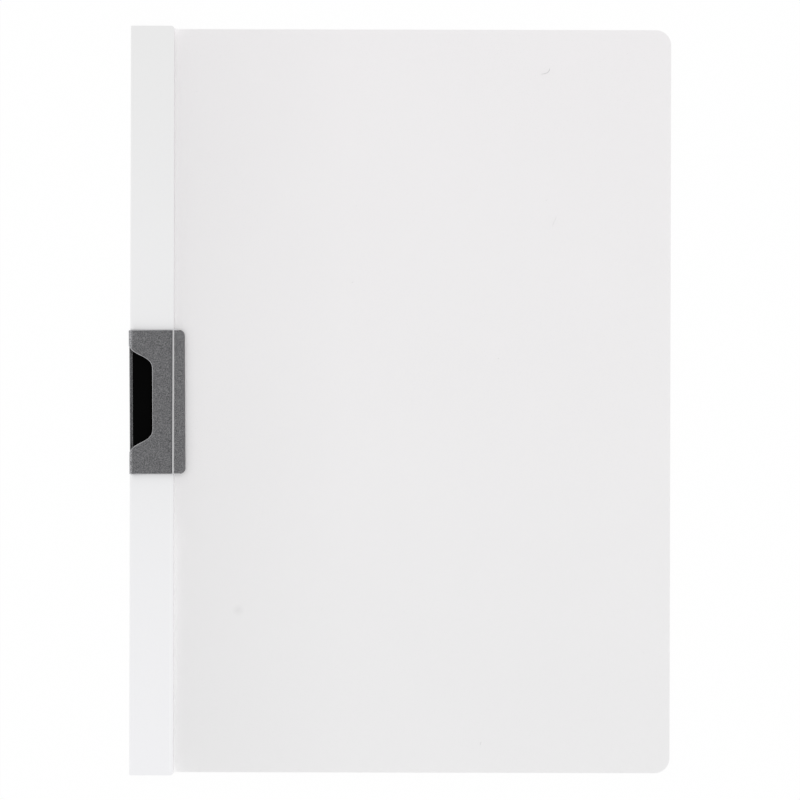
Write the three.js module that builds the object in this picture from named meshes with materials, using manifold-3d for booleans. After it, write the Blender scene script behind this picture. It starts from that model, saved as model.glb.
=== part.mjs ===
// Clip folder for A4 sheets. A white film back cover folds round a narrow spine into a front
// strip. A clear front cover is welded under the strip and opens at a crease along its edge.
// A sprung steel clip, bent to a U, swings out of the spine about a stud near its lower end.
// Sizes are in millimetres. The folder lies on its back: +X runs from the spine to the open
// edge, +Y along the spine to the top edge, and +Z up. The underside is at z = 0.

import * as THREE from 'three';
import { mergeVertices } from 'three/addons/utils/BufferGeometryUtils.js';
import Module from 'manifold-3d';

const wasm = await Module();
wasm.setup();

// White film back cover
const folderWidth = 220.4;
const spineLength = 305;
const panelStep = 0.75;
const panelLength = spineLength - 2 * panelStep;
const filmThickness = 0.45;
const spineHeight = 4.2;
const stripWidth = 17.8;
const foldRadius = 1.0;
const panelCornerRadius = 6.2;
const stripCornerRadius = 1.2;

// Clear front cover
const clearThickness = 0.35;
const marginWidth = 8.8;
const creaseGap = 0.3;
const settleLength = 60;
const bridgeWidth = 0.65;

// Steel clip
const clipLength = 58.6;
const clipTuck = 4.95;
const clipCentreY = -0.65;
const clipProud = 0.1;
const clipRise = 0.95;
const clipRestTurn = THREE.MathUtils.degToRad(0.45);
const steelThickness = 0.6;
const lowerBendRadius = 1.0;
const upperBendRadius = 1.5;
const leafBendRadius = 20;
const clipCornerRadius = 2.2;
const mouthGap = 0.3;

// Thumb recess in the clip, and the black plate seen in it
const recessDepth = 9.3;
const recessTopLand = 5.3;
const recessBottomLand = 7.8;
const recessShoulder = 10.4;
const recessSill = 0.65;
const plateThickness = 0.3;
const plateOverlap = 1.2;
const plateInset = 0.8;

// Pivot stud
const studShankRadius = 1.1;
const studHeadRadius = 1.6;
const studHeadHeight = 0.6;
const pivotEndDistance = 2.8;

// Clearance of everything that lies on or swings past something else
const runGap = 0.3;

// Fineness of rounded shapes, and how far a cutter reaches past what it cuts
const foldSteps = 8;
const cornerSteps = 10;
const coverSteps = 36;
const studSides = 32;
const reachPast = 2;

// Levels
const stripUnderside = spineHeight - filmThickness;
const marginUnderside = stripUnderside - clearThickness;
const rearLeafBottom = filmThickness + runGap;
const rearLeafTop = rearLeafBottom + steelThickness;
const recessFloor = rearLeafTop + recessSill;

// Plan of the clip, with u from the outer face of its wall and v from the middle of its length
const bridgeStart = stripWidth - bridgeWidth;
const bridgeU = bridgeStart + clipProud;
const clipReach = stripWidth + clipTuck + clipProud;
const clipEnd = clipLength / 2;
const pivotU = steelThickness + runGap + studHeadRadius;
const pivotV = pivotEndDistance - clipEnd;
const pivotX = pivotU - clipProud;
const pivotY = clipCentreY + pivotV;

// Height of the front leaf's upper face: it falls to the bridge, then on to the tip
const leafRootHeight = spineHeight + clipRise;
const leafBridgeHeight = marginUnderside - runGap;
const leafTipHeight = rearLeafTop + mouthGap + steelThickness;
const leafFall = (leafRootHeight - leafBridgeHeight) / bridgeU;

// Solids and meshes

function toSolid(geometry) {
  geometry.deleteAttribute('normal');
  geometry.deleteAttribute('uv');
  const merged = mergeVertices(geometry, 1e-5);
  const mesh = new wasm.Mesh({
    numProp: 3,
    vertProperties: new Float32Array(merged.attributes.position.array),
    triVerts: new Uint32Array(merged.index.array),
  });
  return new wasm.Manifold(mesh);
}

function toGeometry(solid) {
  const mesh = solid.getMesh();
  const geometry = new THREE.BufferGeometry();
  geometry.setAttribute('position', new THREE.BufferAttribute(mesh.vertProperties, 3));
  geometry.setIndex(new THREE.BufferAttribute(mesh.triVerts, 1));
  geometry.computeVertexNormals();
  return geometry;
}

function makeMesh(name, geometry, material) {
  const mesh = new THREE.Mesh(geometry, material);
  mesh.name = name;
  return mesh;
}

// A plan outline raised from one level to another
function prism(shape, bottom, top) {
  const geometry = new THREE.ExtrudeGeometry(shape, {
    depth: top - bottom,
    bevelEnabled: false,
    curveSegments: cornerSteps,
  });
  geometry.translate(0, 0, bottom);
  return toSolid(geometry);
}

// A section in x and z, drawn out along y and centred there
function drawnAlongY(shape, length) {
  const geometry = new THREE.ExtrudeGeometry(shape, { depth: length, bevelEnabled: false });
  geometry.rotateX(Math.PI / 2);
  geometry.translate(0, length / 2, 0);
  return toSolid(geometry);
}

function rectangle(left, bottom, right, top) {
  const shape = new THREE.Shape();
  shape.moveTo(left, bottom);
  shape.lineTo(right, bottom);
  shape.lineTo(right, top);
  shape.lineTo(left, top);
  return shape;
}

// A rectangle whose two right-hand corners are rounded
function rightRounded(left, bottom, right, top, radius) {
  const shape = new THREE.Shape();
  shape.moveTo(left, bottom);
  shape.lineTo(right - radius, bottom);
  shape.absarc(right - radius, bottom + radius, radius, -Math.PI / 2, 0);
  shape.absarc(right - radius, top - radius, radius, 0, Math.PI / 2);
  shape.lineTo(left, top);
  return shape;
}

// The section of a sheet bent along a line of corners, each with the radius of its mid-line
function bentSheet(corners, thickness) {
  const stations = [];
  const points = corners.map((corner) => new THREE.Vector2(corner.x, corner.z));
  const last = points.length - 1;
  for (let i = 0; i <= last; i += 1) {
    const before = points[i].clone().sub(points[Math.max(i - 1, 0)]);
    const after = points[Math.min(i + 1, last)].clone().sub(points[i]);
    const angleIn = i === 0 ? after.angle() : before.angle();
    const angleOut = i === last ? angleIn : after.angle();
    const turn = Math.atan2(Math.sin(angleOut - angleIn), Math.cos(angleOut - angleIn));
    if (!corners[i].radius) {
      stations.push({ at: points[i], angle: angleIn });
      continue;
    }
    const tangent = corners[i].radius * Math.tan(Math.abs(turn) / 2);
    const start = points[i].clone().sub(before.normalize().multiplyScalar(tangent));
    const side = Math.sign(turn) * corners[i].radius;
    const centre = new THREE.Vector2(
      start.x - Math.sin(angleIn) * side,
      start.y + Math.cos(angleIn) * side,
    );
    for (let step = 0; step <= foldSteps; step += 1) {
      const angle = angleIn + (turn * step) / foldSteps;
      const at = new THREE.Vector2(
        centre.x + Math.sin(angle) * side,
        centre.y - Math.cos(angle) * side,
      );
      stations.push({ at, angle });
    }
  }
  const face = (side) => stations.map(({ at, angle }) => new THREE.Vector2(
    at.x - (Math.sin(angle) * side * thickness) / 2,
    at.y + (Math.cos(angle) * side * thickness) / 2,
  ));
  return new THREE.Shape([...face(-1), ...face(1).reverse()]);
}

// Openings that the swinging clip needs, worked out from the circles that its points follow

// How far along u the front leaf has fallen to a given height
function leafReachAt(height) {
  return (leafRootHeight - height) / leafFall;
}

// Highest y that the leaf's top edge reaches at a distance u from its wall
function sweptTop(u) {
  return pivotY + Math.hypot(u - pivotU, clipEnd - pivotV) + runGap;
}

const cornerU = clipReach - clipCornerRadius - pivotU;
const cornerV = clipEnd - clipCornerRadius - pivotV;
const slitTop = pivotY + Math.hypot(cornerU, cornerV) + clipCornerRadius + runGap;
const windowTop = sweptTop(leafReachAt(stripUnderside - runGap));
const marginWindowTop = sweptTop(bridgeU);
const windowBottom = clipCentreY - clipEnd - runGap;
const notchBottom = pivotY - Math.hypot(pivotU, pivotEndDistance) - runGap;
const notchRight = pivotX + pivotU;

// Back cover: panel, spine and strip folded from one white sheet
function backCover() {
  const half = filmThickness / 2;
  const foldMidRadius = foldRadius - half;
  const section = bentSheet([
    { x: folderWidth, z: half },
    { x: half, z: half, radius: foldMidRadius },
    { x: half, z: spineHeight - half, radius: foldMidRadius },
    { x: stripWidth, z: spineHeight - half },
  ], filmThickness);
  const sheet = drawnAlongY(section, spineLength);

  const middle = spineHeight / 2;
  const panelPlan = rightRounded(
    -reachPast, -panelLength / 2, folderWidth, panelLength / 2, panelCornerRadius,
  );
  const stripPlan = rightRounded(
    -reachPast, -spineLength / 2, stripWidth, spineLength / 2, stripCornerRadius,
  );
  const panelSpace = prism(panelPlan, -reachPast, middle);
  const stripSpace = prism(stripPlan, middle - runGap, spineHeight + reachPast);
  const spineSpace = prism(
    rectangle(-reachPast, -spineLength / 2, foldRadius, spineLength / 2), -reachPast, middle,
  );
  const outline = panelSpace.add(spineSpace).add(stripSpace);

  const above = spineHeight + reachPast;
  const window = prism(
    rectangle(-reachPast, windowBottom, bridgeStart, windowTop), filmThickness, above,
  );
  const notch = prism(
    rectangle(-reachPast, notchBottom, notchRight, windowTop), filmThickness, above,
  );
  const slit = prism(
    rectangle(-reachPast, notchBottom, foldRadius + filmThickness, slitTop),
    filmThickness, stripUnderside,
  );
  return sheet.intersect(outline).subtract(window).subtract(notch).subtract(slit);
}

// Margin of the clear sheet, welded to the strip's underside round the clip's window
function coverMargin() {
  const plan = rectangle(
    stripWidth - marginWidth, -panelLength / 2, stripWidth, panelLength / 2,
  );
  const margin = prism(plan, marginUnderside, stripUnderside);
  const window = prism(
    rectangle(0, windowBottom - runGap, bridgeStart, marginWindowTop),
    marginUnderside - reachPast, stripUnderside + reachPast,
  );
  return margin.subtract(window);
}

// Clear front cover: it leaves the strip level and sinks on to the panel
function frontCover() {
  const start = stripWidth + creaseGap;
  const restHeight = filmThickness + runGap;
  const undersideAt = (x) => (
    restHeight + (marginUnderside - restHeight) * Math.exp(-(x - start) / settleLength)
  );
  const lower = [];
  for (let step = 0; step <= coverSteps; step += 1) {
    const share = (step / coverSteps) ** 1.5;
    const x = start + (folderWidth - start) * share;
    lower.push(new THREE.Vector2(x, undersideAt(x)));
  }
  const upper = lower.map((point) => new THREE.Vector2(point.x, point.y + clearThickness));
  const section = new THREE.Shape([...lower, ...upper.reverse()]);
  const plan = rightRounded(
    0, -panelLength / 2, folderWidth, panelLength / 2, panelCornerRadius,
  );
  const space = prism(plan, -reachPast, spineHeight + reachPast);
  return drawnAlongY(section, spineLength).intersect(space);
}

// Plan of the thumb recess, open through the clip's wall
function recessPlan() {
  const top = clipEnd - recessTopLand;
  const bottom = recessBottomLand - clipEnd;
  const easeIn = recessDepth * 0.09;
  const easeOut = recessDepth * 0.98;
  const shape = new THREE.Shape();
  shape.moveTo(-reachPast, bottom);
  shape.lineTo(0, bottom);
  shape.bezierCurveTo(
    easeIn, bottom + recessShoulder * 0.56,
    easeOut, bottom + recessShoulder * 0.42,
    recessDepth, bottom + recessShoulder,
  );
  shape.lineTo(recessDepth, top - recessShoulder);
  shape.bezierCurveTo(
    easeOut, top - recessShoulder * 0.42,
    easeIn, top - recessShoulder * 0.56,
    0, top,
  );
  shape.lineTo(-reachPast, top);
  return shape;
}

// Spring clip: one steel strip bent to a U, with a pierced rear leaf and a thumb recess
function springClip() {
  const half = steelThickness / 2;
  const rootMid = leafRootHeight - half - leafFall * half;
  const section = bentSheet([
    { x: clipReach + reachPast, z: rearLeafBottom + half },
    { x: half, z: rearLeafBottom + half, radius: lowerBendRadius - half },
    { x: half, z: rootMid, radius: upperBendRadius - half },
    { x: bridgeU, z: leafBridgeHeight - half, radius: leafBendRadius },
    { x: clipReach, z: leafTipHeight - half },
  ], steelThickness);
  const plan = rightRounded(-reachPast, -clipEnd, clipReach - half, clipEnd, clipCornerRadius);
  const above = leafRootHeight + reachPast;
  const blank = drawnAlongY(section, clipLength).intersect(prism(plan, 0, above));
  const recess = prism(recessPlan(), recessFloor, above);
  const hole = toSolid(new THREE.CylinderGeometry(
    studShankRadius + runGap, studShankRadius + runGap, reachPast, studSides,
  ).rotateX(Math.PI / 2).translate(pivotU, pivotV, rearLeafTop));
  return blank.subtract(recess).subtract(hole).translate([-pivotU, -pivotV, 0]);
}

// Black plate that lies on the rear leaf and fills the view through the recess
function thumbPlate() {
  const plan = rightRounded(
    steelThickness + plateInset,
    recessBottomLand - clipEnd - plateOverlap,
    recessDepth + plateOverlap,
    clipEnd - recessTopLand + plateOverlap,
    plateOverlap,
  );
  return prism(plan, rearLeafTop, rearLeafTop + plateThickness).translate([-pivotU, -pivotV, 0]);
}

// Pivot stud: welded to the panel, with a head that holds the rear leaf down
function pivotStud() {
  const headBottom = rearLeafTop + runGap;
  const headTop = headBottom + studHeadHeight;
  const profile = [
    new THREE.Vector2(0, filmThickness),
    new THREE.Vector2(studShankRadius, filmThickness),
    new THREE.Vector2(studShankRadius, headBottom),
    new THREE.Vector2(studHeadRadius, headBottom),
    new THREE.Vector2(studHeadRadius, headTop),
    new THREE.Vector2(0, headTop),
  ];
  return new THREE.LatheGeometry(profile, studSides).rotateX(Math.PI / 2);
}

const whiteFilm = { color: 0xefefef, roughness: 0.55, metalness: 0 };
const clearFilm = {
  color: 0xf4f4f6, roughness: 0.2, metalness: 0, transparent: true, opacity: 0.25,
};
const greySteel = { color: 0x6a6a6c, roughness: 0.55, metalness: 0.35 };
const blackPlastic = { color: 0x0b0b0b, roughness: 0.5, metalness: 0 };

function finish(look) {
  return new THREE.MeshStandardMaterial(look);
}

const folder = new THREE.Group();
folder.add(makeMesh('back_cover', toGeometry(backCover()), finish(whiteFilm)));
folder.add(makeMesh('front_cover_margin', toGeometry(coverMargin()), finish(clearFilm)));
folder.add(makeMesh('front_cover', toGeometry(frontCover()), finish(clearFilm)));

const stud = makeMesh('pivot_stud', pivotStud(), finish(whiteFilm));
stud.position.set(pivotX, pivotY, 0);
folder.add(stud);

const clip = new THREE.Group();
clip.add(makeMesh('spring_clip', toGeometry(springClip()), finish(greySteel)));
clip.add(makeMesh('thumb_plate', toGeometry(thumbPlate()), finish(blackPlastic)));
clip.position.set(pivotX, pivotY, 0);
clip.rotation.z = clipRestTurn;
folder.add(clip);

// The origin stands under the middle of the closed folder, clip included
const box = new THREE.Box3().setFromObject(folder);
folder.position.x = -(box.min.x + box.max.x) / 2;

export default folder;
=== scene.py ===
# %% [markdown]
# # A clip folder, step by step
#
# The folder lies closed on a white table and is seen from straight above. It is made of white
# film folded round a narrow spine, a clear front cover, and a sprung steel clip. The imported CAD
# part is loaded first, and every piece made here takes its place from that frame.

import math

import bmesh
import bpy
import numpy as np
from mathutils import Matrix, Vector


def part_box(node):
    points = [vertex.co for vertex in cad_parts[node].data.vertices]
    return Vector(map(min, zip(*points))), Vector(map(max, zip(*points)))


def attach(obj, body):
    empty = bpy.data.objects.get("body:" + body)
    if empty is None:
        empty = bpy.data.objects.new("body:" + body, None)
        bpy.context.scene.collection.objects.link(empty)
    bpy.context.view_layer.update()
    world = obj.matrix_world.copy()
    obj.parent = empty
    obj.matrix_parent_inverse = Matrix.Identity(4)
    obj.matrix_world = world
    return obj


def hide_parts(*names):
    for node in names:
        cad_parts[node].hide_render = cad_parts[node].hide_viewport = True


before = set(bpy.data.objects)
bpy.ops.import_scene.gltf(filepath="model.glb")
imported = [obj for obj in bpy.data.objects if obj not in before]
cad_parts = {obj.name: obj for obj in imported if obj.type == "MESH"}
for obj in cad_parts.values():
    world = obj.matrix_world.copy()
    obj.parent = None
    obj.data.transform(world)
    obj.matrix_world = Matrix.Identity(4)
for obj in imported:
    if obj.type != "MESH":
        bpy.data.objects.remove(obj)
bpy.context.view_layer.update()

# %% [markdown]
# Sizes below are in millimetres, as on a drawing, and Blender works in metres. Plan positions
# are counted from the spine's outer face, as in the part's source, so one shift carries them
# into the frame.

# %% Units and places
MM = 0.001
SPINE_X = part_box("back_cover")[0].x / MM
FOLDER_WIDTH = 220.4
SPINE_HEIGHT = 4.2
FILM = 0.45
CLEAR = 0.35
STEEL = 0.6
STRIP_WIDTH = 17.8
SPINE_LENGTH = 305.0
PANEL_LENGTH = 303.5
PANEL_CORNER = 6.2
CREASE_GAP = 0.3
print("spine face at", round(SPINE_X, 3), "mm")

# %% [markdown]
# ## Sums on sockets
#
# A material is a sum of patterns. Written with nodes, each plus sign is a node with its own
# links, which hides the idea. This small class wraps a socket and turns ordinary Python signs
# into Math nodes, so that a pattern reads as a formula.


# %% Sockets that can be added and multiplied
class Term:
    def __init__(self, tree, socket):
        self.tree = tree
        self.socket = socket

    def maths(self, operation, first, second=0.0, clamp=False):
        settings = {"operation": operation, "use_clamp": clamp}
        return add_node(self.tree, "ShaderNodeMath", settings, {0: first, 1: second})

    def __add__(self, other):
        return self.maths("ADD", self, other)

    __radd__ = __add__

    def __sub__(self, other):
        return self.maths("SUBTRACT", self, other)

    def __rsub__(self, other):
        return self.maths("SUBTRACT", other, self)

    def __mul__(self, other):
        return self.maths("MULTIPLY", self, other)

    __rmul__ = __mul__

    def __truediv__(self, other):
        return self.maths("DIVIDE", self, other)

    def function(self, operation, second=0.0):
        return self.maths(operation, self, second)

    def within_one(self):
        return self.maths("ADD", self, 0.0, clamp=True)


def add_node(tree, kind, settings=None, inputs=None, output=0):
    """Adds a node, sets it up first, then fills its sockets with values or links."""
    node = tree.nodes.new(kind)
    for name, value in (settings or {}).items():
        setattr(node, name, value)
    for key, value in (inputs or {}).items():
        socket = node.inputs[key]
        if isinstance(value, Term):
            tree.links.new(value.socket, socket)
        else:
            socket.default_value = value
    if not node.outputs:
        return node
    return Term(tree, node.outputs[output])


def mix_colours(tree, factor, first, second):
    """The colour between two others, as a Mix node gives it."""
    sockets = {0: factor, 6: first, 7: second}
    return add_node(tree, "ShaderNodeMix", {"data_type": "RGBA"}, sockets, output=2)


def noise(tree, place, scale, detail=2.0, roughness=0.5):
    """Soft random patches from 0 to 1, `scale` of them in a metre."""
    inputs = {"Vector": place, "Scale": scale, "Detail": detail, "Roughness": roughness}
    return add_node(tree, "ShaderNodeTexNoise", {}, inputs)


print("socket sums ready")

# %% [markdown]
# ## Finishes
#
# Every finish starts from the same few parts: object coordinates, which stay fixed to the
# piece, a surface shader, and a bump. Each finish then adds its own grain. A helper sets up the
# shared parts and hands back the tree.


# %% Start a finish
def start_finish(name):
    material = bpy.data.materials.new(name)
    material.use_nodes = True
    tree = material.node_tree
    tree.nodes.clear()
    place = add_node(tree, "ShaderNodeTexCoord", {}, {}, output="Object")
    return material, tree, place


def end_finish(tree, shader_inputs, height=None, depth=0.0):
    """Joins a Principled shader to the output, with a bump where a height is given."""
    inputs = dict(shader_inputs)
    if height is not None:
        bump = {"Strength": 1.0, "Distance": depth * MM, "Height": height}
        inputs["Normal"] = add_node(tree, "ShaderNodeBump", {}, bump)
    surface = add_node(tree, "ShaderNodeBsdfPrincipled", {}, inputs)
    add_node(tree, "ShaderNodeOutputMaterial", {}, {"Surface": surface})


def axis_of(tree, place, axis):
    return add_node(tree, "ShaderNodeSeparateXYZ", {}, {0: place}, output=axis)


def scaled(tree, vector, factor):
    """A colour or vector made stronger or weaker by a factor."""
    settings = {"operation": "SCALE"}
    return add_node(tree, "ShaderNodeVectorMath", settings, {0: vector, "Scale": factor})


def fading(distance, reach):
    """One up to a line, and past it less and less, by the share that reach sets."""
    return (distance / reach).function("EXPONENT").function("MINIMUM", 1.0)


print("finish helpers ready")

# %% [markdown]
# The white film is extruded polypropylene. Up close it has a fine satin grain, and over a
# large sheet its white drifts a little, cooler towards the foot. The panel is painted darker
# near the crease and lighter further out, as painted shade from the strip, and painted whiter
# again just behind the crease, as painted light where the strip's overhang shades it. A painted
# contact shadow of the clip greys the strip at the two ends of its window, with a broader
# painted shade round them. The film also lets some light through. Light that crosses the strip
# keeps the corner behind the crease bright, and a faint painted glow inside stands for it. The
# values below say where each of these begins and how fast it fades.


# %% Where the white changes
CREASE_EDGE = (SPINE_X + 18.3) * MM
INSIDE_X = (SPINE_X + 0.5) * MM
PANEL_LEFT = -92.0 * MM
WINDOW_MIDDLE = -0.65 * MM
WINDOW_HALF = 29.4 * MM
STRIP_BOTTOM = 3.5 * MM
EDGE_FADE = 0.5 * MM
DRIFT_LENGTH = 300.0 * MM
PAINTED_SHADE_RAMP_LENGTH = 70.0 * MM
PAINTED_FILL_REACH = 4.0 * MM
GLOW_REACH = 1.6 * MM
CONTACT_SHADOW_REACH = 1.3 * MM
SHADE_REACH = 15.0 * MM
OFF_SPINE_FADE = 1.0 / 600.0
print("the glow beside the crease fades to a third in", round(GLOW_REACH / MM, 1), "mm")

# %% [markdown]
# Each change of the white gets its own strength. The strip and the panel have a level each,
# which is then raised or lowered by the places above, and two noises break it up: a slow cloud
# and a fine grain.

# %% How strong each change is
PANEL_WHITE = 0.965
PAINTED_SHADE_RAMP_GAIN = 0.05
PANEL_FOOT_LOSS = 0.02
PAINTED_FILL_GAIN = 0.15
STRIP_WHITE = 0.968
STRIP_FOOT_GAIN = 0.062
CONTACT_SHADOW_LOSS = 0.25
SHADE_LOSS = 0.022
CLOUD_SHARE = 0.02
GRAIN_SHARE = 0.015
GLOW = 0.15
FILM_GRAIN_DEPTH = 0.006
PANEL_HEAD = (0.867, 0.855, 0.861, 1.0)
PANEL_FOOT = (0.861, 0.857, 0.861, 1.0)
print("the inside of the film glows with a strength of", GLOW)

# %% [markdown]
# The finish then reads as sums of those places and strengths. Cloud and grain are centred on
# zero, so that they leave the mean level alone.


# %% White film
def white_film_finish(name, head_colour, foot_colour):
    material, tree, place = start_finish(name)
    x, y, z = (axis_of(tree, place, axis) for axis in "XYZ")
    foot = (0.5 - y / DRIFT_LENGTH).within_one()
    # Painted shade: the panel is darker near the crease and lighter further out.
    inward = ((x - PANEL_LEFT) / PAINTED_SHADE_RAMP_LENGTH).within_one()
    strip = ((z - STRIP_BOTTOM) / EDGE_FADE).within_one()
    past_window = (y - WINDOW_MIDDLE).function("ABSOLUTE") - WINDOW_HALF
    off_spine = ((x - INSIDE_X) / OFF_SPINE_FADE).within_one()
    # Painted contact shadow of the clip on the strip, at both ends of its window.
    painted_contact_shadow = fading(past_window, -CONTACT_SHADOW_REACH) * off_spine
    shaded = fading(past_window, -SHADE_REACH)
    # Painted light: the panel is whiter just behind the crease, where the strip's overhang shades
    # it.
    clean_tint_and_painted_light = fading(CREASE_EDGE - x, PAINTED_FILL_REACH)
    panel_white = PANEL_WHITE + inward * PAINTED_SHADE_RAMP_GAIN - foot * PANEL_FOOT_LOSS + clean_tint_and_painted_light * PAINTED_FILL_GAIN
    strip_white = STRIP_WHITE + foot * STRIP_FOOT_GAIN - painted_contact_shadow * CONTACT_SHADOW_LOSS - shaded * SHADE_LOSS
    cloud = noise(tree, place, 14.0, 2.0) - 0.5
    grain = noise(tree, place, 900.0, 2.0, 0.6) - 0.5
    white = strip_white * strip + panel_white * (1.0 - strip)
    white = white + cloud * CLOUD_SHARE + grain * GRAIN_SHARE
    strip_tint = mix_colours(tree, foot, head_colour, foot_colour)
    panel_tint = mix_colours(tree, foot, PANEL_HEAD, PANEL_FOOT)
    tint = mix_colours(tree, strip, panel_tint, strip_tint)
    inside = ((x - INSIDE_X) / EDGE_FADE).within_one() * (1.0 - strip)
    lit_through = fading(CREASE_EDGE - x, GLOW_REACH)
    inputs = {
        "Base Color": scaled(tree, tint, white),
        "Roughness": 0.5 + grain * 0.12,
        "Specular IOR Level": 0.35,
        "Emission Color": scaled(tree, panel_tint, lit_through * inside),
        "Emission Strength": GLOW,
    }
    end_finish(tree, inputs, grain, FILM_GRAIN_DEPTH)
    return material


white_film = white_film_finish(
    "white_film", (0.86, 0.86, 0.86, 1.0), (0.86, 0.86, 0.876, 1.0)
)
print("finish made:", white_film.name)

# %% [markdown]
# The clear cover is cast film with a faint haze. Glass shaders block lamp light in a ray
# tracer, so a thin clear sheet is better made as a see-through surface: Alpha says how much of
# the haze shows, and Fresnel makes it glossier where it is seen at a slant.


# %% Clear film
CREASE_X = (SPINE_X + 17.95) * MM
CREASE_HALF = 0.25 * MM
SMUDGE_PLACE = (-0.0657, -0.0853, 0.0025)
SMUDGE_REACH = 2.8 * MM
HAZE = 0.008
SLANT_SHARE = 0.08
CREASE_SHARE = 0.13
SMUDGE_SHARE = 0.04


def clear_film_finish(name):
    material, tree, place = start_finish(name)
    x, y = (axis_of(tree, place, axis) for axis in "XY")
    cloud = noise(tree, place, 18.0, 1.0)
    grain = noise(tree, place, 700.0, 0.0)
    veil = HAZE * (0.9 + cloud * 0.2)
    crease = (1.5 - (x - CREASE_X).function("ABSOLUTE") / CREASE_HALF).within_one()
    slant = add_node(tree, "ShaderNodeFresnel", {}, {"IOR": 1.35})
    head = (y / DRIFT_LENGTH + 0.5).within_one()
    reach = add_node(tree, "ShaderNodeVectorMath", {"operation": "DISTANCE"},
                     {0: place, 1: SMUDGE_PLACE}, output="Value")
    smudge = (1.0 - reach / SMUDGE_REACH).within_one()
    clean_tint_and_painted_light = mix_colours(tree, head, (0.9, 0.9, 0.9, 1.0), (0.92, 0.88, 0.9, 1.0))
    tint = mix_colours(tree, smudge, clean_tint_and_painted_light, (0.5, 0.5, 0.5, 1.0))
    shown = veil + slant * SLANT_SHARE + crease * CREASE_SHARE + smudge * SMUDGE_SHARE
    inputs = {
        "Base Color": tint,
        "Roughness": 0.16 + grain * 0.08,
        "Alpha": shown.within_one(),
        "IOR": 1.45,
    }
    end_finish(tree, inputs, cloud, 0.02)
    return material


clear_film = clear_film_finish("clear_film")
print("finish made:", clear_film.name)

# %% [markdown]
# The clip is steel with a grey metallic paint. The paint carries bright flakes, so the grey is
# speckled at about half a millimetre. Two noises are set against each other: one gives the
# flakes, the other a few bright sparks. The bend gets a painted highlight, lighter paint where it
# catches the light, and the cut edges take a lighter finish of bare steel.


# %% Painted steel
BEND_X = (SPINE_X + 1.4) * MM
BEND_FADE = 1.0 / 1200.0
BEND_BOTTOM = 3.2
FLAKE_CONTRAST = 2.9
PATCH_CONTRAST = 0.35
PAINT_LEVEL = 0.42
SPARK_START = 0.66
SPARK_SHARPNESS = 9.0
SPARK_SHARE = 0.7


def painted_steel_finish(name, dark, light, bend_highlight_gain):
    material, tree, place = start_finish(name)
    x, z = (axis_of(tree, place, axis) for axis in "XZ")
    flakes = noise(tree, place, 2600.0, 1.0, 0.6)
    glitter = noise(tree, place, 1700.0, 0.0)
    patches = noise(tree, place, 350.0, 1.0)
    sparks = ((glitter - SPARK_START) * SPARK_SHARPNESS).within_one()
    speckle = (flakes - 0.5) * FLAKE_CONTRAST + (patches - 0.5) * PATCH_CONTRAST
    speckle = speckle + PAINT_LEVEL + sparks * SPARK_SHARE
    colour = mix_colours(tree, speckle.within_one(), dark, light)
    # Painted highlight: the clip's bend is made lighter where it catches the light.
    painted_bend_highlight = ((BEND_X - x) / BEND_FADE).within_one() * (z / MM - BEND_BOTTOM).within_one()
    inputs = {
        "Base Color": scaled(tree, colour, 1.0 + painted_bend_highlight * bend_highlight_gain),
        "Metallic": 0.25 + flakes * 0.2,
        "Roughness": 0.42 + patches * 0.16,
    }
    end_finish(tree, inputs, flakes, 0.03)
    return material


grey_paint = painted_steel_finish(
    "grey_paint", (0.064, 0.064, 0.067, 1.0), (0.196, 0.196, 0.203, 1.0), 1.3
)
cut_steel = painted_steel_finish(
    "cut_steel", (0.42, 0.42, 0.43, 1.0), (0.62, 0.62, 0.63, 1.0), 0.0
)
print("finishes made:", grey_paint.name, cut_steel.name)

# %% [markdown]
# The plate behind the thumb recess is black plastic. A black surface shows mostly what it
# mirrors, so its specular level is kept very low to stay as deep as the real one.


# %% Black plate and stud
def moulded_finish(name, dark, light, gloss, roughness):
    material, tree, place = start_finish(name)
    grain = noise(tree, place, 1200.0, 3.0)
    cloud = noise(tree, place, 90.0, 2.0)
    colour = mix_colours(tree, grain * 0.6 + cloud * 0.4, dark, light)
    inputs = {
        "Base Color": colour,
        "Roughness": roughness + grain * 0.1,
        "Specular IOR Level": gloss,
    }
    end_finish(tree, inputs, grain, 0.008)
    return material


black_plate = moulded_finish(
    "black_plate", (0.001, 0.001, 0.001, 1.0), (0.0022, 0.0022, 0.0022, 1.0), 0.01, 0.5
)
stud_plastic = moulded_finish(
    "stud_plastic", (0.76, 0.76, 0.76, 1.0), (0.84, 0.84, 0.84, 1.0), 0.4, 0.4
)
print("finishes made:", black_plate.name, stud_plastic.name)

# %% [markdown]
# ## Cut flat, then fold
#
# The film cover and the steel clip are made alike: a flat blank is cut out with its openings,
# then bent along lines. The same two steps work here. A flat curve gives the blank with its
# holes and softened edges, and a bent path says where each strip of the blank ends up.


# %% Outlines with rounded corners
def rounded_loop(corners, steps=8):
    """A closed outline through (along, across, radius) corners, in millimetres."""
    points = []
    count = len(corners)
    for i, (x, y, radius) in enumerate(corners):
        corner = Vector((x, y))
        if radius <= 0:
            points.append(tuple(corner))
            continue
        before = (Vector(corners[i - 1][:2]) - corner).normalized()
        after = (Vector(corners[(i + 1) % count][:2]) - corner).normalized()
        half_angle = before.angle(after) / 2
        reach = radius / math.tan(half_angle)
        centre = corner + (before + after).normalized() * (radius / math.sin(half_angle))
        start = corner + before * reach - centre
        end = corner + after * reach - centre
        turn = start.angle_signed(end)
        for step in range(steps + 1):
            arm = start.copy()
            arm.rotate(Matrix.Rotation(-turn * step / steps, 2))
            points.append(tuple(centre + arm))
    return points


square = rounded_loop([(0, 0, 1), (4, 0, 1), (4, 4, 1), (0, 4, 1)])
print("a square with rounded corners has", len(square), "points")

# %% [markdown]
# Blender fills a closed 2D curve by itself, leaves the inner loops open as holes, and gives the
# plate its thickness and a rounded edge. The loops are drawn in by the width of that rounding,
# so that the finished plate keeps its size.


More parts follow.
